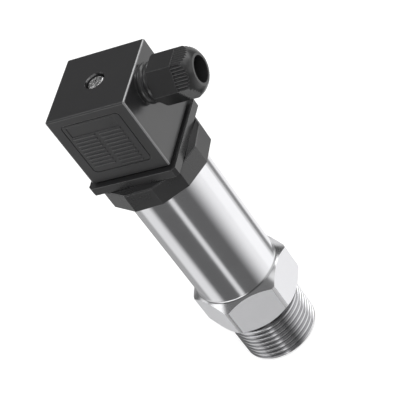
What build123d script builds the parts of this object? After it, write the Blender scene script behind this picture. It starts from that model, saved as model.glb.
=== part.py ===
from build123d import *
import math
import os

# A pressure transmitter with a threaded steel fitting, a steel tube and a square plug with a cable gland.
# Sizes are in millimetres. Z runs up the tube's axis, and z = 0 is the end face of the process thread.
# The cable gland points along +X, and the plug's ribbed face looks along -Y.

# Clearances
seat_gap = 0.05          # pieces pushed or moulded together
slip_gap = 0.15          # pieces that slide apart
thread_gap = 0.1         # plain stand-in threads that turn in each other
pin_gap = 0.75           # round the cell's pins
overrun = 1.0            # a cutting shape reaches this far past what it cuts

# Process fitting, one turned piece
thread_d = 27.0
thread_pitch = 2.0
thread_len = 19.4
thread_depth_share = 0.6134  # depth of a metric thread's groove, as a share of its pitch
undercut_len = 2.1
undercut_extra = 0.2     # how far the undercut lies below the thread's root
hex_af = 31.0
hex_h = 15.0
hex_face_inset = 0.1     # the sealing face ends this far inside the hexagon's sides
hex_corner_cut = 0.4     # how far the hexagon's corners are turned down
hex_turn = 26.4          # angle of one corner from +X
cone_step = 0.2          # the cone on top of the hexagon runs in to this far outside the tube
foot_fillet_r = 1.45     # hollow curve from the cone up to the tube's surface
port_d = 6.0
port_len = 25.4
spigot_above_clamp = 1.4     # the fitting's spigot goes up into the tube and ends above the clamp ring

# Tube
tube_d = 29.4
tube_wall = 1.4
tube_len = 51.8

# Pressure cell
cell_d = 19.0
cell_h = 9.0
cell_step_d = 16.4
cell_step_h = 2.2
cell_oring_cord = 2.0
cell_oring_mid_d = 15.4
oring_squeeze = 0.2
clamp_lip = 1.0          # how far the clamp ring reaches past the cell
clamp_h = 3.4
clamp_hole_d = 13.0
clamp_slot_w = 2.0
clamp_slot_depth = 1.2
clamp_thread_below = 1.2
cell_pin_d = 0.5
cell_pin_count = 5
cell_pin_circle_d = 6.4
cell_pin_above = 1.0

# Circuit boards
board_t = 1.6
sensor_board_gap = 0.4       # from the tube's bore
main_board_tail_gap = 0.6    # from the contacts' tails
notch_depth = 1.0            # in the sensor board's edge
chip_w, chip_h, chip_t, chip_z = 10.0, 8.0, 1.8, 12.0
driver_w, driver_h, driver_t, driver_z = 8.0, 6.0, 2.0, 24.0
capacitor_d, capacitor_h, capacitor_z = 5.0, 6.5, 26.0
inductor_w, inductor_h, inductor_t, inductor_z = 6.0, 6.0, 3.0, 9.0

# Connector base
base_step = 3.4          # how far its sides stand out from the tube
base_sides = 12
base_turn = 18.8         # angle of one corner from +X
base_body_h = 7.5
base_edge_chamfer = 0.35
shoulder_h = 0.35
shoulder_inset = 0.5     # its upper edge lies this far inside the flange's sides
flange_margin = 1.5      # how far the flange stands out from the plug
flange_h = 2.85
flange_corner = 1.1
tube_socket_depth = 1.5
base_floor_h = 6.0       # solid floor that holds the blades, measured down from the flange's upper face
base_spigot_len = 7.5
base_spigot_wall = 2.85
base_oring_cord = 1.8
base_oring_groove_w = 2.2
base_oring_below = 3.4   # groove centre below the many-sided body

# Contact blades
blade_w = 6.3
blade_t = 0.8
blade_above = 11.0       # above the flange
tail_w = 2.0
tail_past_board = 0.8
terminal_board_below = 3.3   # its upper face below the base's floor

# Screw insert and centre screw
insert_d = 5.6
insert_len = 8.0
insert_groove_w = 1.0
insert_groove_depth = 0.4
insert_boss_wall = 1.5
screw_d = 3.0
screw_in_insert = 6.0
screw_head_d = 5.8
screw_head_h = 2.0
screw_head_round = 0.8
screw_slot_w = 0.7
screw_slot_len = 3.6
screw_slot_depth = 1.0
screw_seal_d = 6.2
screw_seal_t = 0.6

# Gasket between the flange and the plug
gasket_inset = 0.375     # from the plug's sides
gasket_t = 0.8
gasket_corner_r = 1.5
gasket_slot_gap = 0.4

# Plug housing
plug_w = 27.9            # along X
plug_d = 27.55           # along Y
plug_h = 27.0
plug_wall = 1.6
plug_roof = 1.8
plug_edge_r = 0.6
plug_top_r = 0.6
boss_wall = 1.25
recess_d = 6.8
recess_depth = 3.2
gland_z_below_top = 6.35

# Ribbed front of the plug
frame_w = 20.7
frame_low = 3.75         # its lower line above the plug's lower edge
frame_high = 24.2
frame_corner_r = 1.6
frame_line = 0.4
frame_depth = 0.25
window_left = -8.9
window_right = 7.8
window_low = 19.1
window_high = 23.1
window_depth = 0.2
rib_pitch = 1.48
rib_top = 18.3           # height of the highest rib above the plug's lower edge
rib_w = 0.7
rib_proud = 0.32
rib_columns = [(-9.0, -1.4, 9), (0.1, 7.7, 10)]   # from x, to x, how many

# Terminal block and its metal parts
block_h = 15.2
block_above_gasket = 0.3
block_roof = 1.4
block_wall = 0.875       # between a clip's pocket and the block's side
clip_leaf_t = 0.5
clip_blade_gap = 0.1
clip_w = 6.5
clip_top_t = 4.0
clip_top_h = 3.5
terminal_screw_d = 2.4
terminal_screw_len = 4.2
terminal_head_d = 4.2
terminal_head_h = 1.5
terminal_slot_w = 0.6
terminal_slot_depth = 0.7

# Cable gland
neck_d = 12.6
neck_groove_d = 11.6
neck_visible = 5.0       # from the plug's side to the nut
neck_bead_w = 1.9
neck_bead_count = 2
neck_bead_start = 0.6    # first bead from the plug's side
neck_thread_d = 11.2
neck_thread_len = 8.0
neck_bore_d = 8.8
seal_d = 9.8
seal_bore_d = 7.2
seal_len = 6.0
gland_washer_t = 0.6
nut_corner_d = 15.8
nut_len = 14.2
nut_back_chamfer = 0.4
nut_dome_at_corner = 10.7
nut_dome_at_flat = 12.5
nut_rim_d = 9.8
nut_hole_d = 8.2
nut_knurl_from = 8.2
nut_teeth_per_side = 8
nut_tooth_depth = 0.5
nut_bore_depth = 10.0

# Sizes that follow from the ones above
thread_root_r = thread_d / 2 - thread_depth_share * thread_pitch
hex_corner_r = hex_af / 2 / math.cos(math.pi / 6)
hex_face_r = hex_af / 2 - hex_face_inset
cone_top_r = tube_d / 2 + cone_step
foot_h = cone_step + foot_fillet_r * (math.sqrt(2) - 1)
tube_in_r = tube_d / 2 - tube_wall
clamp_r = cell_d / 2 + clamp_lip
sensor_board_r = tube_in_r - sensor_board_gap
base_af = tube_d + 2 * base_step
base_spigot_r = tube_in_r - seat_gap
base_spigot_in_r = base_spigot_r - base_spigot_wall
plug_least_w = min(plug_w, plug_d)
flange_w = max(plug_w, plug_d) + 2 * flange_margin
shoulder_top_r = flange_w / 2 - shoulder_inset
gasket_w = plug_least_w - 2 * gasket_inset
block_half_w = plug_least_w / 2 - plug_wall - seat_gap
blade_circle_r = block_half_w - block_wall - seat_gap - clip_top_t / 2
main_board_w = 2 * (blade_circle_r - blade_t / 2 - main_board_tail_gap)

# Places along the axis
hex_z = thread_len
hex_top = hex_z + hex_h
tube_z = hex_top + foot_h
tube_top = tube_z + tube_len
cup_floor = port_len
cell_z = cup_floor + cell_oring_cord - oring_squeeze
cell_top = cell_z + cell_h
clamp_top = cell_top + clamp_h
spigot_top = clamp_top + spigot_above_clamp
base_z = tube_top - tube_socket_depth
shoulder_z = base_z + base_body_h
flange_z = shoulder_z + shoulder_h
flange_top = flange_z + flange_h
floor_z = flange_top - base_floor_h
terminal_board_top = floor_z - terminal_board_below
terminal_board_z = terminal_board_top - board_t
sensor_board_z = spigot_top
sensor_board_top = sensor_board_z + board_t
plug_z = flange_top + gasket_t
plug_top = plug_z + plug_h
plug_roof_z = plug_top - plug_roof
blade_top = flange_top + blade_above
block_z = plug_z + block_above_gasket
block_top = block_z + block_h
clip_top = block_top - block_roof
clip_under = clip_top - clip_top_h
recess_floor = plug_top - recess_depth
screw_seat = recess_floor + screw_seal_t
screw_tip = flange_top - screw_in_insert
gland_z = plug_top - gland_z_below_top
base_oring_z = base_z - base_oring_below

# Places along the gland's axis
plug_side = plug_w / 2
nut_x = plug_side + neck_visible
nut_end = nut_x + nut_len
neck_end = nut_x + neck_thread_len
nut_seat = nut_x + nut_bore_depth
seal_end = nut_seat - gland_washer_t
seal_x = seal_end - seal_len


def disc(r, z0, z1):
    return Pos(0, 0, z0) * Cylinder(r, z1 - z0, align=(Align.CENTER, Align.CENTER, Align.MIN))


def ring(r_out, r_in, z0, z1):
    return disc(r_out, z0, z1) - disc(r_in, z0, z1)


def block(x0, x1, y0, y1, z0, z1):
    middle = Pos((x0 + x1) / 2, (y0 + y1) / 2, (z0 + z1) / 2)
    return middle * Box(x1 - x0, y1 - y0, z1 - z0)


def centred(w, d, z0, z1):
    return block(-w / 2, w / 2, -d / 2, d / 2, z0, z1)


def lathe(outline):
    # Turns an outline of (radius, height) points about the Z axis.
    face = make_face(Plane.XZ * Polyline(*outline, close=True))
    return revolve(face, Axis.Z)


def outline_face(plane, *lines):
    # A flat face inside straight lines and arcs given in the plane's own x and y.
    return make_face(plane * (Curve() + list(lines)))


def prism(corner_r, sides, turn, z0, z1):
    outline = RegularPolygon(corner_r, sides, rotation=turn)
    return Pos(0, 0, z0) * extrude(outline, amount=z1 - z0)


def along_gland(shape):
    # Lays a shape modelled up the Z axis along the gland's axis, with z becoming x.
    return Pos(0, 0, gland_z) * Rot(0, 90, 0) * shape


def squeezed_oring(mid_r, cord, z_mid, keep):
    # A round ring pressed flat where it meets its seats.
    whole = Pos(0, 0, z_mid) * Torus(mid_r, cord / 2)
    return whole & keep


def hexagon_turning():
    # What the lathe leaves of the hexagon: 45 degree cones at both ends, and above the upper one a hollow curve
    # that runs smoothly into the tube's surface.
    tube_r = tube_d / 2
    far_r = max(hex_corner_r, cone_top_r) + overrun
    centre_r = tube_r + foot_fillet_r
    foot = (centre_r - foot_fillet_r * math.cos(math.pi / 4), tube_z - foot_fillet_r * math.sin(math.pi / 4))
    middle = (centre_r - foot_fillet_r * math.cos(math.pi / 8), tube_z - foot_fillet_r * math.sin(math.pi / 8))
    outline = outline_face(
        Plane.XZ,
        Polyline((0, tube_z), (0, hex_z), (hex_face_r, hex_z), (far_r, hex_z + far_r - hex_face_r),
                 (far_r, hex_top + cone_top_r - far_r), foot),
        ThreePointArc(foot, middle, (tube_r, tube_z)),
        Line((tube_r, tube_z), (0, tube_z)),
    )
    return revolve(outline, Axis.Z)


def process_fitting():
    hexagon = prism(hex_corner_r, 6, hex_turn, hex_z, tube_z)
    corners = disc(hex_corner_r - hex_corner_cut, hex_z, tube_z)
    end_chamfer = thread_d / 2 - thread_root_r
    undercut_r = thread_root_r - undercut_extra
    stem = lathe([
        (0, 0),
        (thread_root_r, 0),
        (thread_d / 2, end_chamfer),
        (thread_d / 2, hex_z - undercut_len),
        (undercut_r, hex_z - undercut_len),
        (undercut_r, hex_z),
        (0, hex_z),
    ])
    spigot = disc(tube_in_r - seat_gap, tube_z, spigot_top)
    port = disc(port_d / 2, 0, cup_floor)
    cup = disc(cell_d / 2 + seat_gap, cup_floor, spigot_top)
    clamp_bore = disc(clamp_r + seat_gap, cell_top - clamp_thread_below, spigot_top)
    return (hexagon & corners & hexagon_turning()) + stem + spigot - port - cup - clamp_bore


def sensor_oring():
    keep = disc(cell_d / 2, cup_floor, cell_z)
    return squeezed_oring(cell_oring_mid_d / 2, cell_oring_cord, (cup_floor + cell_z) / 2, keep)


def sensor_cell():
    # The lower part has the full diameter, and a smaller header stands above the clamp ring's seat.
    header_z = cell_top - cell_step_h
    return disc(cell_d / 2, cell_z, header_z) + disc(cell_step_d / 2, header_z, cell_top)


def clamp_ring():
    body = ring(clamp_r, clamp_hole_d / 2, cell_top, clamp_top)
    slot = centred(2 * clamp_r + overrun, clamp_slot_w, clamp_top - clamp_slot_depth, clamp_top)
    return body - slot


def on_pin_circle(shape):
    step = 360 / cell_pin_count
    return [Rot(0, 0, i * step) * Pos(cell_pin_circle_d / 2, 0, 0) * shape for i in range(cell_pin_count)]


def cell_pins():
    return on_pin_circle(disc(cell_pin_d / 2, cell_top, sensor_board_top + cell_pin_above))


def housing_tube():
    return ring(tube_d / 2, tube_in_r, tube_z, tube_top)


def sensor_board():
    board = disc(sensor_board_r, sensor_board_z, sensor_board_top)
    hole = disc(cell_pin_d / 2 + seat_gap, sensor_board_z, sensor_board_top)
    notch_w = main_board_w / 3
    board -= on_pin_circle(hole)
    return board - block(-notch_w / 2, notch_w / 2, sensor_board_r - notch_depth, sensor_board_r + overrun,
                         sensor_board_z, sensor_board_top)


def main_board():
    # It stands clear of the pins' tips between the two round boards.
    notch_w = cell_pin_circle_d + cell_pin_d + 2 * pin_gap
    board = centred(main_board_w, board_t, sensor_board_top, terminal_board_z)
    return board - centred(notch_w, board_t, sensor_board_top, sensor_board_top + cell_pin_above + pin_gap)


def board_parts():
    face = board_t / 2
    foot = sensor_board_top
    chip = block(-chip_w / 2, chip_w / 2, -face - chip_t, -face, foot + chip_z, foot + chip_z + chip_h)
    driver = block(-driver_w / 2, driver_w / 2, -face - driver_t, -face, foot + driver_z,
                   foot + driver_z + driver_h)
    inductor = block(-inductor_w / 2, inductor_w / 2, face, face + inductor_t, foot + inductor_z,
                     foot + inductor_z + inductor_h)
    can = Pos(0, face + capacitor_d / 2, 0) * disc(capacitor_d / 2, foot + capacitor_z,
                                                   foot + capacitor_z + capacitor_h)
    return [chip, driver, inductor, can]


def on_contacts(shape):
    # The four places of the contacts: -X, -Y, +X and, for the earth, +Y.
    return [Rot(0, 0, angle) * Pos(blade_circle_r, 0, 0) * shape for angle in (180, 270, 0, 90)]


def blade():
    tail_end = terminal_board_z - tail_past_board
    upper = centred(blade_t, blade_w, floor_z, blade_top)
    tip = upper.edges().group_by(Axis.Z)[-1]
    upper = chamfer(tip, blade_t / 4)
    return upper + centred(blade_t, tail_w, tail_end, floor_z)


def terminal_board():
    board = disc(base_spigot_in_r - slip_gap, terminal_board_z, terminal_board_top)
    hole = centred(blade_t + 2 * seat_gap, tail_w + 2 * seat_gap, terminal_board_z, terminal_board_top)
    return board - on_contacts(hole)


def screw_insert():
    outer = disc(insert_d / 2, flange_top - insert_len, flange_top)
    groove_mid = flange_top - insert_len / 2
    groove = ring(insert_d / 2, insert_d / 2 - insert_groove_depth, groove_mid - insert_groove_w / 2,
                  groove_mid + insert_groove_w / 2)
    hole = disc(screw_d / 2 + thread_gap, flange_top - insert_len, flange_top)
    return outer - groove - hole


def socket_base():
    corner_r = base_af / 2 / math.cos(math.pi / base_sides)
    body = prism(corner_r, base_sides, base_turn, base_z, shoulder_z)
    ends = body.faces().sort_by(Axis.Z)
    rims = ends[0].edges() + ends[-1].edges()
    body = chamfer(rims, base_edge_chamfer)
    flat_r = base_af / 2 - base_edge_chamfer
    shoulder = lathe([
        (0, shoulder_z),
        (flat_r, shoulder_z),
        (shoulder_top_r, flange_z),
        (0, flange_z),
    ])
    flange = centred(flange_w, flange_w, flange_z, flange_top)
    flange = chamfer(flange.edges().filter_by(Axis.Z), flange_corner)
    spigot = disc(base_spigot_r, base_z - base_spigot_len, base_z)
    groove = ring(base_spigot_r + overrun, base_oring_floor(), base_oring_z - base_oring_groove_w / 2,
                  base_oring_z + base_oring_groove_w / 2)
    tube_seat = ring(tube_d / 2 + seat_gap, base_spigot_r, base_z, tube_top)
    hollow = disc(base_spigot_in_r, base_z - base_spigot_len, floor_z)
    insert_seat = disc(insert_d / 2, flange_top - insert_len, flange_top)
    insert_boss = disc(insert_d / 2 + insert_boss_wall, flange_top - insert_len, floor_z)
    whole = body + shoulder + flange + spigot - hollow + insert_boss - groove - tube_seat - insert_seat
    whole += insert_ring()
    return whole - on_contacts(centred(blade_t, blade_w, floor_z, flange_top))


def insert_ring():
    # Plastic that has flowed into the insert's groove.
    groove_mid = flange_top - insert_len / 2
    return ring(insert_d / 2, insert_d / 2 - insert_groove_depth, groove_mid - insert_groove_w / 2,
                groove_mid + insert_groove_w / 2)


def base_oring_floor():
    return tube_in_r - base_oring_cord + oring_squeeze


def base_oring():
    half = base_oring_groove_w / 2
    keep = ring(tube_in_r, base_oring_floor(), base_oring_z - half, base_oring_z + half)
    mid_r = (tube_in_r + base_oring_floor()) / 2
    return squeezed_oring(mid_r, base_oring_cord, base_oring_z, keep)


def flange_gasket():
    sheet = centred(gasket_w, gasket_w, flange_top, plug_z)
    sheet = fillet(sheet.edges().filter_by(Axis.Z), gasket_corner_r)
    slot = centred(blade_t + 2 * gasket_slot_gap, blade_w + 2 * gasket_slot_gap, flange_top, plug_z)
    hole = disc(insert_d / 2 + gasket_slot_gap, flange_top, plug_z)
    return sheet - on_contacts(slot) - hole


def front_frame():
    # The engraved line round the front, as a closed band with round corners.
    mid_z = plug_z + (frame_low + frame_high) / 2
    tall = frame_high - frame_low
    front = Plane(origin=(0, -plug_d / 2, mid_z), x_dir=(1, 0, 0), z_dir=(0, -1, 0))
    outer = RectangleRounded(frame_w, tall, frame_corner_r)
    inner = RectangleRounded(frame_w - 2 * frame_line, tall - 2 * frame_line, frame_corner_r - frame_line)
    return extrude(front * (outer - inner), amount=-frame_depth)


def front_window():
    face = -plug_d / 2
    low = plug_z + window_low
    high = plug_z + window_high
    return block(window_left, window_right, face, face + window_depth, low, high)


def front_ribs():
    # Short bars in two columns, each with a half-round section that stands proud of the front.
    ribs = []
    half = rib_w / 2
    for x0, x1, count in rib_columns:
        for i in range(count):
            z = plug_z + rib_top - i * rib_pitch
            end = Plane(origin=(x0, -plug_d / 2, z), x_dir=(0, -1, 0), z_dir=(1, 0, 0))
            section = outline_face(
                end,
                ThreePointArc((0, -half), (rib_proud, 0), (0, half)),
                Polyline((0, half), (-rib_proud, half), (-rib_proud, -half), (0, -half)),
            )
            ribs.append(extrude(section, amount=x1 - x0))
    return ribs


def gland_neck():
    # Modelled up Z: a grooved neck with round beads that the nut's back face comes up to, then the thread.
    groove_r = neck_groove_d / 2
    neck = disc(groove_r, plug_side - plug_wall, nut_x)
    neck += disc(neck_thread_d / 2, nut_x, neck_end)
    for i in range(neck_bead_count):
        mid = plug_side + neck_bead_start + neck_bead_w * (i + 0.5) + i * neck_groove_gap()
        low = mid - neck_bead_w / 2
        high = mid + neck_bead_w / 2
        section = outline_face(
            Plane.XZ,
            ThreePointArc((groove_r, low), (neck_d / 2, mid), (groove_r, high)),
            Polyline((groove_r, high), (groove_r - overrun, high), (groove_r - overrun, low), (groove_r, low)),
        )
        neck += revolve(section, Axis.Z)
    return neck


def neck_groove_gap():
    # What the beads leave free of the visible neck, shared between the gaps after each bead.
    free = neck_visible - neck_bead_start - neck_bead_count * neck_bead_w
    return free / neck_bead_count


def plug_housing():
    shell = centred(plug_w, plug_d, plug_z, plug_top)
    shell = fillet(shell.edges().filter_by(Axis.Z), plug_edge_r)
    shell = fillet(shell.faces().sort_by(Axis.Z)[-1].edges(), plug_top_r)
    cavity = centred(plug_w - 2 * plug_wall, plug_d - 2 * plug_wall, plug_z, plug_roof_z)
    boss_r = recess_d / 2 + boss_wall
    boss = disc(boss_r, block_top, plug_roof_z)
    bore = disc(neck_bore_d / 2, plug_side - plug_wall, neck_end)
    seal_seat = disc(seal_d / 2 + seat_gap, seal_x, neck_end)
    screw_way = disc(screw_d / 2 + slip_gap, block_top, recess_floor)
    recess = disc(recess_d / 2, recess_floor, plug_top)
    shell = shell - cavity + boss + along_gland(gland_neck())
    shell = shell - along_gland(bore + seal_seat) - screw_way - recess
    shell = shell - front_frame() - front_window()
    for rib in front_ribs():
        shell += rib
    return shell


def terminal_block():
    clear = 2 * (plug_wall + seat_gap)
    body = centred(plug_w - clear, plug_d - clear, block_z, block_top)
    body = fillet(body.edges().filter_by(Axis.Z), plug_edge_r)
    pocket = centred(clip_top_t + 2 * seat_gap, clip_w + 2 * seat_gap, block_z, clip_top)
    screw_hole = disc(terminal_screw_d / 2 + slip_gap, clip_top, block_top)
    centre = disc(screw_d / 2 + slip_gap, block_z, block_top)
    return body - on_contacts(pocket) - on_contacts(screw_hole) - centre


def clip():
    # Two leaves that grip the blade, under a solid head for the wire screw.
    head = centred(clip_top_t, clip_w, clip_under, clip_top)
    gap = blade_t / 2 + clip_blade_gap
    leaves = centred(2 * (gap + clip_leaf_t), clip_w, block_z, clip_under)
    slot = centred(2 * gap, clip_w + overrun, block_z, clip_under)
    hole = disc(terminal_screw_d / 2 + seat_gap, clip_under, clip_top)
    return head + (leaves - slot) - hole


def terminal_screws():
    shank = disc(terminal_screw_d / 2, block_top - terminal_screw_len, block_top)
    head = disc(terminal_head_d / 2, block_top, block_top + terminal_head_h)
    head_top = block_top + terminal_head_h
    slot = centred(terminal_head_d + overrun, terminal_slot_w, head_top - terminal_slot_depth, head_top)
    return on_contacts(shank + head - slot)


def centre_screw():
    head_top = screw_seat + screw_head_h
    head = disc(screw_head_d / 2, screw_seat, head_top)
    head = fillet(head.edges().group_by(Axis.Z)[-1], screw_head_round)
    shank = disc(screw_d / 2, screw_tip, screw_seat)
    shank = chamfer(shank.edges().group_by(Axis.Z)[0], screw_d / 8)
    slot = centred(screw_slot_len, screw_slot_w, head_top - screw_slot_depth, head_top)
    return head + shank - slot - Rot(0, 0, 90) * slot


def screw_seal():
    return ring(screw_seal_d / 2, screw_d / 2 + thread_gap, recess_floor, screw_seat)


def gland_seal():
    return along_gland(ring(seal_d / 2, seal_bore_d / 2, seal_x, seal_end))


def gland_washer():
    outer_r = neck_thread_d / 2
    return along_gland(ring(outer_r, nut_hole_d / 2, seal_end, nut_seat))


def toothed_hexagon(corner_r):
    # Each side of the hexagon has a row of teeth whose tips lie on the side and whose roots lie below it.
    points = []
    for side in range(6):
        a = Vector(corner_r, 0).rotate(Axis.Z, 60 * side)
        b = Vector(corner_r, 0).rotate(Axis.Z, 60 * (side + 1))
        inward = (a + b).normalized() * -nut_tooth_depth
        for tooth in range(nut_teeth_per_side):
            tip = a + (b - a) * (tooth / nut_teeth_per_side)
            root = a + (b - a) * ((tooth + 0.5) / nut_teeth_per_side) + inward
            points += [tip, root]
    return make_face(Polyline(*points, close=True))


def gland_nut():
    # Modelled up Z: a plain hexagon, then a toothed one, both inside a turned outline with the dome.
    corner_r = nut_corner_d / 2
    flat_r = corner_r * math.cos(math.pi / 6)
    plain = prism(corner_r, 6, 90, nut_x, nut_x + nut_knurl_from)
    toothed = Pos(0, 0, nut_x + nut_knurl_from) * Rot(0, 0, 90) * extrude(
        toothed_hexagon(corner_r), amount=nut_len - nut_knurl_from)
    outline = outline_face(
        Plane.XZ,
        Polyline((0, nut_x), (corner_r - nut_back_chamfer, nut_x), (corner_r, nut_x + nut_back_chamfer),
                 (corner_r, nut_x + nut_dome_at_corner)),
        ThreePointArc((corner_r, nut_x + nut_dome_at_corner), (flat_r, nut_x + nut_dome_at_flat),
                      (nut_rim_d / 2, nut_end)),
        Polyline((nut_rim_d / 2, nut_end), (0, nut_end), (0, nut_x)),
    )
    turned = revolve(outline, Axis.Z)
    bore = disc(neck_thread_d / 2 + thread_gap, nut_x, nut_seat)
    hole = disc(nut_hole_d / 2, nut_seat, nut_end)
    return along_gland((plain + toothed) & turned - bore - hole)


contacts = on_contacts(blade())
clips = on_contacts(clip())

nodes = {
    "process_fitting": process_fitting(),
    "sensor_oring": sensor_oring(),
    "sensor_cell": sensor_cell(),
    "cell_pins": cell_pins(),
    "clamp_ring": clamp_ring(),
    "housing_tube": housing_tube(),
    "sensor_board": sensor_board(),
    "main_board": main_board(),
    "board_parts": board_parts(),
    "terminal_board": terminal_board(),
    "socket_base": socket_base(),
    "base_oring": base_oring(),
    "contact_blade_1": contacts[0],
    "contact_blade_2": contacts[1],
    "contact_blade_3": contacts[2],
    "earth_blade": contacts[3],
    "screw_insert": screw_insert(),
    "flange_gasket": flange_gasket(),
    "plug_housing": plug_housing(),
    "terminal_block": terminal_block(),
    "terminal_clip_1": clips[0],
    "terminal_clip_2": clips[1],
    "terminal_clip_3": clips[2],
    "earth_clip": clips[3],
    "terminal_screws": terminal_screws(),
    "centre_screw": centre_screw(),
    "screw_seal": screw_seal(),
    "gland_seal": gland_seal(),
    "gland_washer": gland_washer(),
    "gland_nut": gland_nut(),
}

os.makedirs("parts", exist_ok=True)
for name, shape in nodes.items():
    solids = [s for item in (shape if isinstance(shape, list) else [shape]) for s in item.solids()]
    export_step(solids[0] if len(solids) == 1 else Compound(children=solids), f"parts/{name}.step")
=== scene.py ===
import math

import bmesh
import bpy
from mathutils import Matrix, Vector


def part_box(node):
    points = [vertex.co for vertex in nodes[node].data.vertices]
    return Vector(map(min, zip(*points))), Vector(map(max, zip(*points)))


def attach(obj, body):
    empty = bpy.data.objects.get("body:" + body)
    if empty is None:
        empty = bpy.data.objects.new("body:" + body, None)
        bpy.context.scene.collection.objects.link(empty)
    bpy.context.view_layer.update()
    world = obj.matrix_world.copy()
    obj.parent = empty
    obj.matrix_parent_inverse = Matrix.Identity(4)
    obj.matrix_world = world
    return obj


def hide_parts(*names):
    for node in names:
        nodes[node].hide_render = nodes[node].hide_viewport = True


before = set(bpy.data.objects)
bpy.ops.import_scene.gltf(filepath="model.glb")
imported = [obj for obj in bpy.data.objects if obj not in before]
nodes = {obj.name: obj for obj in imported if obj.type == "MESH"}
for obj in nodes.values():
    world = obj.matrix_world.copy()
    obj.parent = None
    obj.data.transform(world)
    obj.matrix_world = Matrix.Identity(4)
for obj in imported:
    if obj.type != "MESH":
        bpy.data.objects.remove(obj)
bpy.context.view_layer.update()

MM = 0.001
scene = bpy.context.scene


# Camera
# It stands in front of the ribbed face and a little to the gland's side, looks down, and leans to one side.
camera_at = Vector((224.70, -296.85, 343.28)) * MM
camera_aim = Vector((3.18, 2.35, 65.52)) * MM
camera_lean = math.radians(-36.656)
camera_lens = 131.1
camera_sensor = 36.0
camera_near = 0.01
camera_far = 20.0


def make_camera():
    data = bpy.data.cameras.new("photo_camera")
    data.lens = camera_lens
    data.sensor_width = camera_sensor
    data.clip_start = camera_near
    data.clip_end = camera_far
    camera = bpy.data.objects.new("photo_camera", data)
    scene.collection.objects.link(camera)
    facing = (camera_aim - camera_at).to_track_quat("-Z", "Y").to_matrix().to_4x4()
    camera.matrix_world = Matrix.Translation(camera_at) @ facing @ Matrix.Rotation(camera_lean, 4, "Z")
    scene.camera = camera


make_camera()


# Material helpers
plastic_gloss = 1.0         # the plastics reflect about 8 percent, seen square on
rubber_gloss = 0.2
edge_width = 0.18 * MM      # how far from an edge the plastics look rounded, and how wide their painted edge highlight is
hex_edge_width = 0.2 * MM
bevel_samples = 6
# Painted highlight on the plastics' edges: this pale colour, made nearly metal below
edge_highlight_colour = (0.38, 0.38, 0.385, 1.0)
edge_highlight_metal = 0.9            # the painted edge highlight reflects nearly as metal does
flat_cosine = 0.995         # a normal this near the flat one isn't on an edge
edge_cosine = 0.86          # a rounded normal this far from the true one is all edge
round_cosine = 0.94         # a face that leans this far from all three axes is all edge
side_lean = (0.05, 0.2)     # how far an edge has to face sideways to get the painted highlight
edge_reach = 1.2            # how far in from the box's outside its edges are looked for, in edge radii
edge_slack = 0.05 * MM      # and how far out

# Noise scales, in cells per metre. A cloud is a slow change of tone, and the highlight patches break up the
# painted highlight on the plastics' edges.
plastic_cloud = 90.0
highlight_patch_scale = 300.0
rubber_cloud = 260.0
rubber_grain = 4200.0
turned_cloud = 120.0
milled_cloud = 140.0
milled_marks = 160.0
milled_stretch = (1.0, 1.0, 60.0)   # makes the marks long across each side and thin upward
plain_cloud = 700.0
board_cloud = 500.0
board_weave = 900.0


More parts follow.
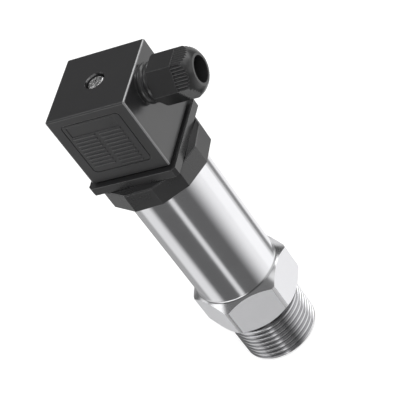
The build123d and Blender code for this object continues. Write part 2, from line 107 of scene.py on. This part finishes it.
class Nodes:
    """A short way to write a material's or the world's nodes."""

    def __init__(self, owner):
        owner.use_nodes = True
        self.tree = owner.node_tree
        self.tree.nodes.clear()

    def add(self, kind, settings=None, **inputs):
        """A node with these inputs, where an underscore stands for a space in the input's name."""
        node = self.tree.nodes.new(kind)
        for name, value in (settings or {}).items():
            setattr(node, name, value)
        for name, value in inputs.items():
            self.put(node, name.replace("_", " "), value)
        return node

    def put(self, node, which, value):
        """Links a socket's value to an input, or sets the input to a plain value."""
        socket = node.inputs[which]
        if isinstance(value, bpy.types.NodeSocket):
            self.tree.links.new(value, socket)
        else:
            socket.default_value = value

    def math(self, operation, a, b=0.0, c=0.0):
        node = self.add("ShaderNodeMath", {"operation": operation})
        for i, value in enumerate((a, b, c)):
            self.put(node, i, value)
        return node.outputs[0]

    def blend(self, factor, low, high):
        """A number that goes from low to high with factor."""
        return self.ramp(factor, 0.0, 1.0, low, high, "LINEAR")

    def ramp(self, value, start, end, low=0.0, high=1.0, kind="SMOOTHSTEP"):
        """A number that goes from low to high while value goes from start to end."""
        node = self.add("ShaderNodeMapRange", {"interpolation_type": kind})
        names = ("Value", "From Min", "From Max", "To Min", "To Max")
        for name, number in zip(names, (value, start, end, low, high)):
            self.put(node, name, number)
        return node.outputs[0]

    def mix(self, factor, low, high):
        """A colour between two."""
        node = self.add("ShaderNodeMix", {"data_type": "RGBA"})
        self.put(node, 0, factor)
        self.put(node, 6, low)
        self.put(node, 7, high)
        return node.outputs[2]

    def either(self, factor, first, second):
        """The first shader where factor is 0 and the second where it is 1."""
        node = self.add("ShaderNodeMixShader")
        for i, value in enumerate((factor, first, second)):
            self.put(node, i, value)
        return node.outputs[0]

    def place(self, scale=(1, 1, 1)):
        """Where a point lies in the part, in metres, stretched by scale."""
        where = self.add("ShaderNodeTexCoord").outputs["Object"]
        return self.add("ShaderNodeMapping", Vector=where, Scale=scale).outputs[0]

    def noise(self, where, scale, detail=3.0, rough=0.55):
        node = self.add("ShaderNodeTexNoise", Vector=where, Scale=scale, Detail=detail, Roughness=rough)
        return node.outputs[0]

    def bump(self, height, strength, distance, normal=None):
        node = self.add("ShaderNodeBump", Strength=strength, Distance=distance, Height=height)
        if normal is not None:
            self.put(node, "Normal", normal)
        return node.outputs[0]

    def rounded_normal(self, radius):
        """The normal, as if sharp edges were rounded to this radius."""
        return self.add("ShaderNodeBevel", {"samples": bevel_samples}, Radius=radius).outputs[0]

    def edges(self, soft):
        """1 on sharp edges and 0 elsewhere, from how far a rounded normal leaves the true one."""
        true = self.add("ShaderNodeNewGeometry").outputs["True Normal"]
        agree = self.add("ShaderNodeVectorMath", {"operation": "DOT_PRODUCT"})
        self.put(agree, 0, soft)
        self.put(agree, 1, true)
        return self.ramp(agree.outputs["Value"], flat_cosine, edge_cosine)

    def any_ray(self, first, *others):
        """1 for the rays of these kinds and 0 for all others."""
        path = self.add("ShaderNodeLightPath")
        seen = path.outputs[first]
        for kind in others:
            seen = self.math("MAXIMUM", seen, path.outputs[kind])
        return seen

    def surface(self, **inputs):
        """The surface's shader, with these inputs."""
        self.finish(self.add("ShaderNodeBsdfPrincipled", **inputs).outputs[0])

    def finish(self, shader, output="ShaderNodeOutputMaterial"):
        self.put(self.add(output), 0, shader)


def grey(level):
    return (level, level, level, 1.0)


def mottled(n, cloud, colour, dark, light):
    """The colour, going with the cloud from a darker shade of it to a lighter one."""
    shades = [tuple(part * share for part in colour) + (1,) for share in (dark, light)]
    return n.mix(cloud, *shades)


def uneven(n, cloud, roughness, down, up):
    """The roughness, going with the cloud from a little below it to a little above."""
    return n.blend(cloud, roughness - down, roughness + up)


def highlit_edges(n, half_width, top, edge_r):
    """1 on the rounded edges of an upright box that get a painted highlight, which are its outer ones that
    face sideways, and 0 elsewhere."""
    coordinates = n.add("ShaderNodeTexCoord").outputs
    normal = n.add("ShaderNodeSeparateXYZ", Vector=coordinates["Normal"]).outputs
    sides = [n.math("ABSOLUTE", part) for part in normal]
    facing = n.math("MAXIMUM", n.math("MAXIMUM", sides[0], sides[1]), sides[2])
    x, _, z = n.add("ShaderNodeSeparateXYZ", Vector=coordinates["Object"]).outputs
    out = n.math("ABSOLUTE", x)
    reach = edge_reach * edge_r
    at_side = n.math("GREATER_THAN", out, half_width - reach)
    at_top = n.math("GREATER_THAN", z, top - reach)
    inside = n.math("LESS_THAN", out, half_width + edge_slack)
    # The mask for the painted edge highlight
    round_part = n.math("MULTIPLY", n.ramp(facing, flat_cosine, round_cosine), n.ramp(sides[0], *side_lean))
    return n.math("MULTIPLY", round_part, n.math("MULTIPLY", n.math("MAXIMUM", at_side, at_top), inside))


def moulded_plastic(name, colour, roughness, grain_mm, grain_height_mm, edge_highlight_share=0.35, box=None):
    """Moulded plastic: a fine even grain, a faint cloudy sheen, and a painted highlight on its edges, a pale,
    nearly metal colour broken into patches.
    """
    material = bpy.data.materials.new(name)
    n = Nodes(material)
    where = n.place()
    grain = n.noise(where, 1 / (grain_mm * MM), detail=2.0)
    cloud = n.noise(where, plastic_cloud)
    soft = n.rounded_normal(edge_width)
    painted_highlight = n.math("MULTIPLY", n.edges(soft), edge_highlight_share)
    if box:
        painted_highlight = n.math("MAXIMUM", painted_highlight, highlit_edges(n, *box))
    patches = n.ramp(n.noise(where, highlight_patch_scale, detail=4.0), 0.3, 0.7, low=0.7)
    painted_highlight = n.math("MULTIPLY", painted_highlight, patches)
    # The pale, nearly metal colour mixed in on the edges is a painted highlight
    n.surface(
        Base_Color=n.mix(painted_highlight, mottled(n, cloud, colour, dark=0.9, light=1.1), edge_highlight_colour),
        Metallic=n.math("MULTIPLY", painted_highlight, edge_highlight_metal),
        Roughness=uneven(n, cloud, roughness, down=0.03, up=0.05),
        Normal=n.bump(grain, strength=0.35, distance=grain_height_mm * MM, normal=soft),
        Specular_IOR_Level=plastic_gloss)
    return material


def rubber(name, colour):
    """Moulded rubber: nearly matt, with a fine grain."""
    material = bpy.data.materials.new(name)
    n = Nodes(material)
    where = n.place()
    cloud = n.noise(where, rubber_cloud, detail=4.0)
    grain = n.noise(where, rubber_grain, detail=2.0)
    n.surface(
        Base_Color=mottled(n, cloud, colour, dark=0.8, light=1.3),
        Roughness=n.blend(cloud, 0.6, 0.8),
        Normal=n.bump(grain, strength=0.3, distance=0.01 * MM),
        Specular_IOR_Level=rubber_gloss)
    return material


def distance_from_axis(n):
    where = n.add("ShaderNodeTexCoord").outputs["Object"]
    x, y, _ = n.add("ShaderNodeSeparateXYZ", Vector=where).outputs
    return n.math("SQRT", n.math("ADD", n.math("MULTIPLY", x, x), n.math("MULTIPLY", y, y)))


def around_axis(n):
    """Coordinates that only change along the axis and away from it, so that noise there makes turning marks."""
    where = n.add("ShaderNodeTexCoord").outputs["Object"]
    height = n.add("ShaderNodeSeparateXYZ", Vector=where).outputs[2]
    return n.add("ShaderNodeCombineXYZ", X=height, Y=distance_from_axis(n)).outputs[0]


def turned_metal(name, colour, roughness, mark_mm, mark_height_mm, painted_groove_shade=None, edge_tint=1.0):
    """Metal from the lathe: fine rings round the axis, and a slightly uneven polish.

    For the grooves' painted shade give (radius of their floor, radius where the unshaded metal starts, shade);
    the colour darkens towards the groove floor."""
    material = bpy.data.materials.new(name)
    n = Nodes(material)
    rings = n.noise(around_axis(n), 1 / (mark_mm * MM), detail=4.0, rough=0.6)
    cloud = n.noise(n.place(), turned_cloud)
    tone = mottled(n, cloud, colour, dark=0.96, light=1.03)
    if painted_groove_shade:
        # Painted shade: the colour darkens towards the floor of the thread's grooves
        floor_r, unshaded_r, shade = painted_groove_shade
        shaded = tuple(part * shade for part in colour) + (1,)
        tone = n.mix(n.ramp(distance_from_axis(n), floor_r, unshaded_r), shaded, tone)
    rings_and_cloud = n.math("ADD", n.math("MULTIPLY", rings, 0.5), n.math("MULTIPLY", cloud, 0.5))
    n.surface(
        Base_Color=tone,
        Metallic=1.0,
        Roughness=uneven(n, rings_and_cloud, roughness, down=0.05, up=0.06),
        Normal=n.bump(rings, strength=0.4, distance=mark_height_mm * MM),
        Specular_Tint=grey(edge_tint))
    return material


def milled_metal(name, colour, roughness, metallic):
    """The hexagon's sides: straight cutter marks across each side."""
    material = bpy.data.materials.new(name)
    n = Nodes(material)
    marks = n.noise(n.place(milled_stretch), milled_marks, detail=4.0, rough=0.6)
    cloud = n.noise(n.place(), milled_cloud)
    soft = n.rounded_normal(hex_edge_width)
    n.surface(
        Base_Color=mottled(n, cloud, colour, dark=0.96, light=1.03),
        Metallic=metallic,
        Roughness=uneven(n, cloud, roughness, down=0.04, up=0.06),
        Normal=n.bump(marks, strength=0.25, distance=0.004 * MM, normal=soft))
    return material


def plain_metal(name, colour, roughness, dents_mm=0.002):
    """Stamped or plated metal with a faint mottle."""
    material = bpy.data.materials.new(name)
    n = Nodes(material)
    cloud = n.noise(n.place(), plain_cloud, detail=4.0)
    n.surface(
        Base_Color=mottled(n, cloud, colour, dark=0.93, light=1.05),
        Metallic=1.0,
        Roughness=uneven(n, cloud, roughness, down=0.05, up=0.08),
        Normal=n.bump(cloud, strength=1.0, distance=dents_mm * MM))
    return material


def laminate(name, dark, light):
    """A coated circuit board: an uneven colour and a faint weave."""
    material = bpy.data.materials.new(name)
    n = Nodes(material)
    where = n.place()
    weave = n.add("ShaderNodeTexWave", Vector=where, Scale=board_weave, Distortion=1.5).outputs["Fac"]
    n.surface(
        Base_Color=n.mix(n.noise(where, board_cloud), dark, light),
        Roughness=0.35,
        Normal=n.bump(weave, strength=0.2, distance=0.01 * MM))
    return material


def dress(material, *names):
    """Gives these nodes of the part one material."""
    for name in names:
        mesh = nodes[name].data
        mesh.materials.clear()
        mesh.materials.append(material)
        mesh.polygons.foreach_set("material_index", [0] * len(mesh.polygons))


# Materials
steel_turned = turned_metal("steel_turned", (0.76, 0.76, 0.775), roughness=0.18, mark_mm=0.12,
                            mark_height_mm=0.004)
# The thread's grooves get a painted shade, down to 0.47 of its colour at their floor
steel_thread = turned_metal("steel_thread", (0.70, 0.70, 0.715), roughness=0.15, mark_mm=0.12,
                            mark_height_mm=0.0015, painted_groove_shade=(12.3 * MM, 13.4 * MM, 0.47), edge_tint=0.35)
steel_milled = milled_metal("steel_milled", (0.90, 0.90, 0.92), roughness=0.46, metallic=0.85)
steel_tube = turned_metal("steel_tube", (0.80, 0.80, 0.82), roughness=0.14, mark_mm=0.2,
                          mark_height_mm=0.002)
steel_cell = turned_metal("steel_cell", (0.66, 0.66, 0.67), roughness=0.28, mark_mm=0.1,
                          mark_height_mm=0.004)
brass = turned_metal("brass", (0.72, 0.56, 0.28), roughness=0.25, mark_mm=0.08, mark_height_mm=0.004)
tinned = plain_metal("tinned", (0.74, 0.72, 0.66), roughness=0.3)
plated = plain_metal("plated", (0.90, 0.90, 0.90), roughness=0.10, dents_mm=0.6)

plug_low, plug_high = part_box("plug_housing")
plug_edge_r = 0.6 * MM
# The plastics' edges carry a painted highlight, the plug's on its outer sides and top
plug_black = moulded_plastic("plug_black", (0.0165, 0.0165, 0.0172), roughness=0.28, grain_mm=0.11,
                             grain_height_mm=0.005, edge_highlight_share=0.0, box=(-plug_low.x, plug_high.z, plug_edge_r))
base_black = moulded_plastic("base_black", (0.0145, 0.0145, 0.0150), roughness=0.27, grain_mm=0.11,
                             grain_height_mm=0.005, edge_highlight_share=0.5)
nut_black = moulded_plastic("nut_black", (0.0130, 0.0130, 0.0135), roughness=0.29, grain_mm=0.14,
                            grain_height_mm=0.004, edge_highlight_share=0.2)
block_black = moulded_plastic("block_black", (0.030, 0.030, 0.032), roughness=0.5, grain_mm=0.12,
                              grain_height_mm=0.012)
chip_black = moulded_plastic("chip_black", (0.02, 0.02, 0.021), roughness=0.5, grain_mm=0.1,
                             grain_height_mm=0.010)
seal_black = rubber("seal_black", (0.008, 0.008, 0.008))
board_green = laminate("board_green", (0.01, 0.10, 0.04, 1), (0.03, 0.17, 0.08, 1))

dress(steel_tube, "housing_tube")
dress(steel_cell, "sensor_cell", "clamp_ring")
dress(tinned, "cell_pins", "contact_blade_1", "contact_blade_2", "contact_blade_3", "earth_blade",
      "terminal_clip_1", "terminal_clip_2", "terminal_clip_3", "earth_clip")
dress(brass, "screw_insert")
dress(plated, "centre_screw", "terminal_screws")
dress(plug_black, "plug_housing")
dress(base_black, "socket_base")
dress(nut_black, "gland_nut")
dress(block_black, "terminal_block", "gland_washer")
dress(chip_black, "board_parts")
dress(seal_black, "sensor_oring", "base_oring", "flange_gasket", "screw_seal", "gland_seal")
dress(board_green, "sensor_board", "main_board", "terminal_board")


# Process fitting with its thread
# Its sizes are the solid's own, and its top is read from the frame.
thread_r = 13.5 * MM
thread_pitch = 2.0 * MM
thread_depth = 0.6134 * thread_pitch    # the usual depth of an outside metric thread
thread_root_r = thread_r - thread_depth
thread_top = 17.5 * MM
undercut_r = thread_root_r - 0.2 * MM
run_out_rise = 1.7           # how steeply the last turns sink into the undercut
crest_share = 0.34           # nearly flat crest and root, as shares of the pitch
root_share = 0.10
flank_ease = 0.6             # how much of the flank's form is a smooth curve, the rest being straight
rows_per_turn = 16
hex_low = 19.4 * MM
hex_flat_r = 15.5 * MM
hex_face_r = 15.4 * MM
hex_turn = math.radians(26.4)
hex_corner_r = 17.5 * MM     # the corners are turned down to this
side_steps = 30
corner_steps = 4
sharp_angle = math.radians(27)     # just under the angle between a side and a turned corner
cone_sum = 49.3 * MM         # radius and height together, all the way up the cone above the hexagon
tube_r = 14.7 * MM
foot_r = 1.45 * MM           # hollow curve between the cone and the tube
foot_steps = 6
foot_top = cone_sum - tube_r + foot_r * (math.sqrt(2) - 1)
spigot_r = 13.25 * MM
spigot_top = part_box("process_fitting")[1].z
clamp_bore_r = 10.55 * MM
clamp_bore_z = 35.0 * MM
cup_r = 9.55 * MM
cup_floor = 25.4 * MM
port_r = 3.0 * MM
port_mouth = 0.4 * MM        # chamfer at the port's mouth
same_point = 0.0005 * MM     # points nearer than this are one
turned_slot, milled_slot, thread_slot = range(3)


def hexagon_outline():
    """(angle, radius) round the hexagon with its turned corners, starting at a corner."""
    points = []
    half_side = math.sqrt(hex_corner_r ** 2 - hex_flat_r ** 2)
    half_flat = math.atan2(half_side, hex_flat_r)
    half_corner = math.pi / 6 - half_flat
    for side in range(6):
        corner = hex_turn + side * math.pi / 3
        for i in range(corner_steps):
            points.append((corner + half_corner * (2 * i / corner_steps - 1), hex_corner_r))
        middle = corner + math.pi / 6
        for i in range(side_steps):
            along = half_side * (1 - 2 * i / side_steps)
            points.append((middle - math.atan2(along, hex_flat_r), math.hypot(along, hex_flat_r)))
    return points


def level(radius, height):
    """A round ring."""
    return lambda angle, hexagon_r: (radius, height)


def shoulder_height(radius):
    """Height of the turned surface above the hexagon: a cone, then a hollow curve into the tube's side."""
    centre_r = tube_r + foot_r
    if radius >= centre_r - foot_r * math.sqrt(0.5):
        return cone_sum - radius
    return foot_top - math.sqrt(max(foot_r ** 2 - (centre_r - radius) ** 2, 0.0))


def shoulder_ring(limit):
    """The shoulder at one radius, or at the hexagon's side where that is nearer the axis."""
    return lambda angle, hexagon_r: (min(hexagon_r, limit), shoulder_height(min(hexagon_r, limit)))


def thread_profile(along):
    """Radius of the thread at a place along one pitch, from 0 to 1, with the crest round 0."""
    away = abs((along + 0.5) % 1.0 - 0.5)
    crest_half = crest_share / 2
    root_half = root_share / 2
    slope = (away - crest_half) / (0.5 - crest_half - root_half)
    slope = min(max(slope, 0.0), 1.0)
    eased = slope * slope * (3 - 2 * slope)
    return thread_r - thread_depth * ((1 - flank_ease) * slope + flank_ease * eased)


def thread_point(row, angle, start_angle):
    """(radius, height) on the thread. The rows run along the helix and are cut off at both ends."""
    turn = (angle - start_angle) / math.tau
    height = thread_pitch * (row / rows_per_turn + turn - 1)
    if height <= 0:
        return thread_root_r, 0.0
    if height >= thread_top:
        return undercut_r, thread_top
    low_cone = thread_root_r + height
    high_cone = undercut_r + (thread_top - height) * run_out_rise
    return min(thread_profile(row / rows_per_turn), low_cone, high_cone), height


def fitting_rings(start_angle):
    """The rings down the port, up the outside and down the cup, and the numbers of three of them: the thread's
    first and last, and the one on top of the hexagon's sides. Each ring is a function that gives (radius, height)
    for an angle and the hexagon's radius there."""
    rings = [level(port_r, cup_floor), level(port_r, port_mouth), level(port_r + port_mouth, 0)]
    first_row = len(rings)
    last_row = first_row + int(rows_per_turn * (thread_top / thread_pitch + 1)) + 1
    for row in range(last_row - first_row + 1):
        rings.append(lambda angle, hexagon_r, row=row: thread_point(row, angle, start_angle))
    rings += [
        level(undercut_r, hex_low),
        level(hex_face_r, hex_low),
        lambda angle, hexagon_r: (hexagon_r, hex_low + hexagon_r - hex_face_r),
    ]
    hex_top = len(rings)
    rings.append(lambda angle, hexagon_r: (hexagon_r, shoulder_height(hexagon_r)))
    for step in range(foot_steps + 1):
        lean = math.pi / 4 * (1 - step / foot_steps)
        rings.append(shoulder_ring(tube_r + foot_r * (1 - math.cos(lean))))
    rings += [
        level(spigot_r, foot_top),
        level(spigot_r, spigot_top),
        level(clamp_bore_r, spigot_top),
        level(clamp_bore_r, clamp_bore_z),
        level(cup_r, clamp_bore_z),
        level(cup_r, cup_floor),
    ]
    return rings, first_row, last_row, hex_top


def make_ring(bm, outline, place):
    ring = []
    for angle, hexagon_r in outline:
        radius, height = place(angle, hexagon_r)
        ring.append(bm.verts.new((radius * math.cos(angle), radius * math.sin(angle), height)))
    return ring


def bridge(bm, low, high, milled):
    """Joins two rings. The hexagon's sides are milled, and all else is turned, its corners too."""
    count = len(low)
    side = count // 6
    for i in range(count):
        j = (i + 1) % count
        face = bm.faces.new((low[i], low[j], high[j], high[i]))
        face.material_index = milled_slot if milled and i % side >= corner_steps else turned_slot


def bridge_helix(bm, made, k, last_row):
    """Joins two rows of the thread. After the last point the row goes on as the row one turn higher."""
    low, high = made[k], made[k + 1]
    for i in range(len(low) - 1):
        add_thread_face(bm, (low[i], low[i + 1], high[i + 1], high[i]))
    above = k + rows_per_turn
    low_next = made[min(above, last_row)][0]
    high_next = made[min(above + 1, last_row)][0]
    add_thread_face(bm, (low[-1], low_next, high_next, high[-1]))


def add_thread_face(bm, corners):
    """A face, or none where the rows are cut off and too few of its corners differ."""
    distinct = []
    for corner in corners:
        if all((corner.co - other.co).length > same_point for other in distinct):
            distinct.append(corner)
    if len(distinct) > 2:
        bm.faces.new(distinct).material_index = thread_slot


def fitting_mesh():
    bm = bmesh.new()
    outline = hexagon_outline()
    rings, first_row, last_row, hex_top = fitting_rings(outline[0][0])
    made = [make_ring(bm, outline, place) for place in rings]
    for k in range(len(made)):
        after = (k + 1) % len(made)
        if first_row <= k < last_row:
            bridge_helix(bm, made, k, last_row)
        else:
            bridge(bm, made[k], made[after], after == hex_top)
    bmesh.ops.remove_doubles(bm, verts=bm.verts, dist=same_point)
    bmesh.ops.dissolve_degenerate(bm, edges=bm.edges, dist=same_point)
    bmesh.ops.recalc_face_normals(bm, faces=bm.faces)
    mesh = bpy.data.meshes.new("threaded_fitting")
    bm.to_mesh(mesh)
    bm.free()
    for material in (steel_turned, steel_milled, steel_thread):
        mesh.materials.append(material)
    mesh.polygons.foreach_set("use_smooth", [True] * len(mesh.polygons))
    mesh.set_sharp_from_angle(angle=sharp_angle)
    return mesh


def build_fitting():
    fitting = bpy.data.objects.new("threaded_fitting", fitting_mesh())
    scene.collection.objects.link(fitting)
    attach(fitting, "body")
    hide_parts("process_fitting")


build_fitting()


# Light
# The world gives diffuse surfaces an even light. Polished ones see the studio: soft panels between dark gaps.
# Directions go round the axis from +X and heights up from the horizon, both in degrees.

# Upright panels round the object, seen in the tube: name, direction, half width, softness, and brightness
walls = [
    ("left wall", -158, 9, 24, 0.88),
    ("left edge", 163, 14, 14, 0.42),
    ("thin strip", -80, 2, 9, 0.88),
    ("right wall", 38, 14, 24, 1.18),
    ("right wall's fade", 16, 0, 66, 1.04),
    ("dark line", 73, 6, 10, 0.28),
    ("back wall", 109, 21, 13, 1.02),
]
# Soft boxes above and reflector cards in front: name, direction, half width, softness, height, half height,
# softness, and brightness
boxes = [
    ("upper card", -104, 26, 16, -10, 7, 6, 1.5),
    ("lower card", -80, 30, 16, -57, 4, 6, 0.8),
    ("left card", -124, 14, 10, -14, 7, 7, 1.1),
    ("low left card", -160, 16, 12, -56, 8, 8, 1.3),
    ("front box", -153, 14, 9, 28, 7, 6, 1.5),
    ("side box", 14, 10, 10, 47, 9, 8, 1.1),
    ("dome box", 12, 20, 14, 12, 6, 8, 0.9),
    ("back box", 64, 26, 12, 36, 11, 8, 2.0),
    ("left box", 178, 9, 10, 12, 7, 7, 1.0),
    ("high box", 163, 18, 12, 61, 5, 5, 2.2),
    ("ear card", 92, 12, 10, 0, 7, 6, 0.85),
]
gap_level = 0.14
wall_foot = (-70.0, -56.0)   # the walls come up to full between these heights
wall_dim = (-18.0, -7.0)     # fall to horizon_share of that between these
horizon_share = 0.3
wall_top = (16.0, 6.0)       # and fade out upward, from the second of these to the first
pit_level = 0.06             # straight below
ceiling_rise = (5.0, 35.0)
ceiling_level = 0.18
diffuse_level = 0.75

key_at = Vector((0.5, -0.5, 0.9))
key_aim = Vector((0, 0, 0.06))
key_size = 0.8
key_power = 9.0

floor_size = 6.0
floor_paint = 0.6
floor_glow = 0.54            # what the camera sees beside the lit paint, so that the floor comes out white


def across(n, turn, centre, half_width, soft, brightness):
    """How bright a panel is across its width."""
    sideways = n.math("ABSOLUTE", n.math("WRAP", n.math("SUBTRACT", turn, centre), 180.0, -180.0))
    return n.ramp(sideways, half_width + soft, half_width, 0.0, brightness)


def box_light(n, turn, height, box):
    _, centre, half_width, side_soft, middle, half_height, end_soft, brightness = box
    wide = across(n, turn, centre, half_width, side_soft, brightness)
    upward = n.math("ABSOLUTE", n.math("SUBTRACT", height, middle))
    return n.math("MULTIPLY", wide, n.ramp(upward, half_height + end_soft, half_height))


def studio_light(n, turn, height):
    """What a polished surface sees in one direction."""
    light = gap_level
    for _, centre, half_width, soft, brightness in walls:
        light = n.math("MAXIMUM", light, across(n, turn, centre, half_width, soft, brightness))
    light = n.math("MULTIPLY", light, n.ramp(height, *wall_dim, 1.0, horizon_share))
    light = n.math("MULTIPLY", light, n.ramp(height, *wall_top))
    light = n.math("MULTIPLY", light, n.ramp(height, *wall_foot))
    light = n.math("MAXIMUM", light, pit_level)
    light = n.math("MAXIMUM", light, n.ramp(height, *ceiling_rise, 0.0, ceiling_level))
    for box in boxes:
        light = n.math("MAXIMUM", light, box_light(n, turn, height, box))
    return light


def make_world():
    world = bpy.data.worlds.new("studio")
    scene.world = world
    n = Nodes(world)
    direction = n.add("ShaderNodeTexCoord").outputs["Generated"]
    x, y, z = n.add("ShaderNodeSeparateXYZ", Vector=direction).outputs
    turn = n.math("DEGREES", n.math("ARCTAN2", y, x))
    height = n.math("DEGREES", n.math("ARCSINE", z))
    studio, even, white = (
        n.add("ShaderNodeBackground", Color=grey(1.0), Strength=strength).outputs[0]
        for strength in (studio_light(n, turn, height), diffuse_level, 1.0))
    lit = n.either(n.any_ray("Is Glossy Ray"), even, studio)
    shown = n.either(n.any_ray("Is Camera Ray", "Is Transmission Ray"), lit, white)
    n.finish(shown, "ShaderNodeOutputWorld")


def make_key_lamp():
    data = bpy.data.lights.new("key", "AREA")
    data.shape = "RECTANGLE"
    data.size = key_size
    data.size_y = key_size
    data.energy = key_power
    lamp = bpy.data.objects.new("key", data)
    scene.collection.objects.link(lamp)
    lamp.location = key_at
    lamp.rotation_euler = (key_aim - key_at).to_track_quat("-Z", "Y").to_euler()
    lamp.visible_glossy = False


def make_floor():
    bpy.ops.mesh.primitive_plane_add(size=floor_size, location=(0, 0, 0))
    floor = bpy.context.object
    floor.name = "floor"
    material = bpy.data.materials.new("floor_white")
    n = Nodes(material)
    seen = n.any_ray("Is Camera Ray", "Is Glossy Ray", "Is Transmission Ray")
    paint = n.add("ShaderNodeBsdfDiffuse", Color=grey(floor_paint))
    glow = n.add("ShaderNodeEmission", Color=grey(1.0), Strength=n.math("MULTIPLY", seen, floor_glow))
    both = n.add("ShaderNodeAddShader")
    n.put(both, 0, paint.outputs[0])
    n.put(both, 1, glow.outputs[0])
    n.finish(both.outputs[0])
    floor.data.materials.append(material)
    floor.visible_glossy = False


make_world()
make_key_lamp()
make_floor()

scene.view_settings.view_transform = "Standard"
